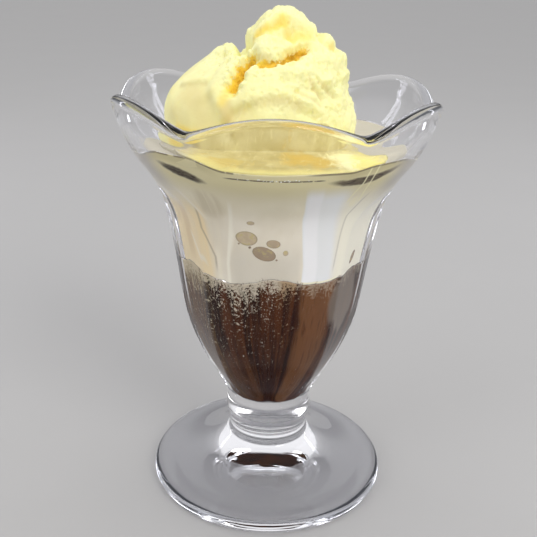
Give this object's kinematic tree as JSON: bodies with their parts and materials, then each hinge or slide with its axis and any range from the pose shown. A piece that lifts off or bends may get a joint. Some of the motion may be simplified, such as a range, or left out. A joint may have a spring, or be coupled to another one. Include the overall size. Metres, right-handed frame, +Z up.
{
  "type": "affogato in a sundae glass",
  "caption": "Scoop of vanilla ice cream on milk over coffee, in a clear footed sundae glass with flat panels and a petalled rim.",
  "frame": {"origin": "on the surface the glass stands on, under the middle of its foot", "axes": "+Z up the glass's axis; -Y towards the picture's viewer, through the middle of one rim petal; +X to the viewer's right"},
  "size_m": [0.0938, 0.0962, 0.1519],
  "materials": {
    "glass": "clear polished pressed glass",
    "coffee": "still dark liquid, glossy",
    "milk": "opaque pale liquid with melted ice cream, soft gloss",
    "ice_cream": "pale yellow, rough where torn and wet where it melts"
  },
  "bodies": {
    "root": {"glass": "glass", "coffee": "coffee", "milk": "milk", "ice_cream": "ice_cream"}
  },
  "joints": []
}
